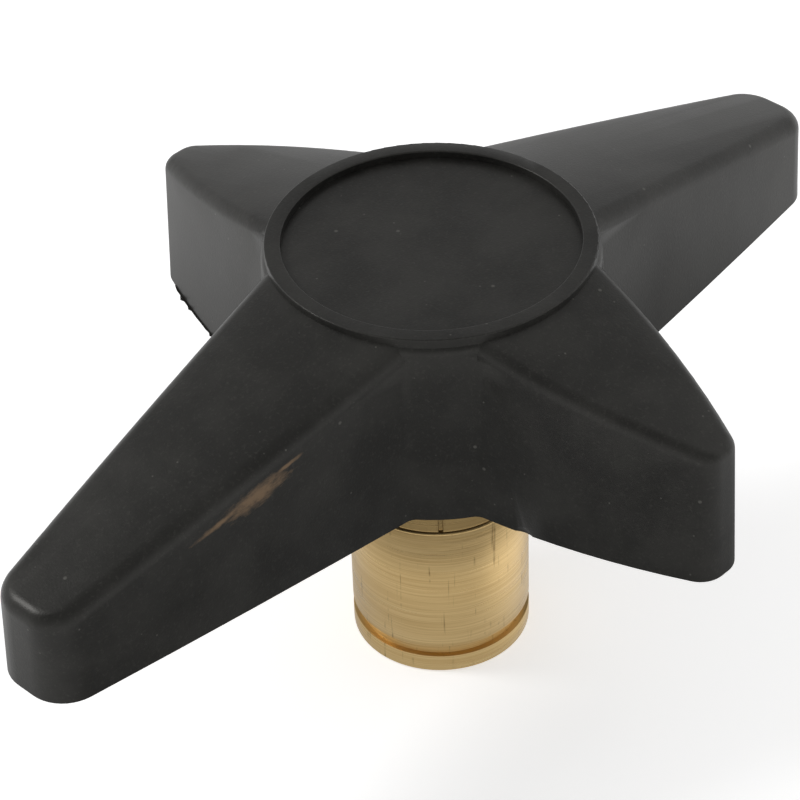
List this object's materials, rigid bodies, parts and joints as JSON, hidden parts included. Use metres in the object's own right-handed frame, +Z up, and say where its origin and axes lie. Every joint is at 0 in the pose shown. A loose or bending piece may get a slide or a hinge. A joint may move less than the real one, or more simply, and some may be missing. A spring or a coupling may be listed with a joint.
{
  "type": "star knob",
  "caption": "Moulded plastic star knob with long and short tapering arms, a rimmed round hub and a turned brass insert with a blind tapped hole, for turning a spindle by hand.",
  "frame": {"origin": "centre of the insert's open end face, on the axis the knob turns about, which is also the centre of the base of the box round the part", "axes": "+X along the long arms, +Y along the short arms, +Z up the axis from the open end of the insert to the recessed face"},
  "size_m": [0.1876, 0.128, 0.084],
  "materials": {
    "knob_plastic": "satin",
    "insert_brass": "turned"
  },
  "bodies": {
    "root": {"knob_body": "knob_plastic", "threaded_insert": "insert_brass"}
  },
  "joints": []
}
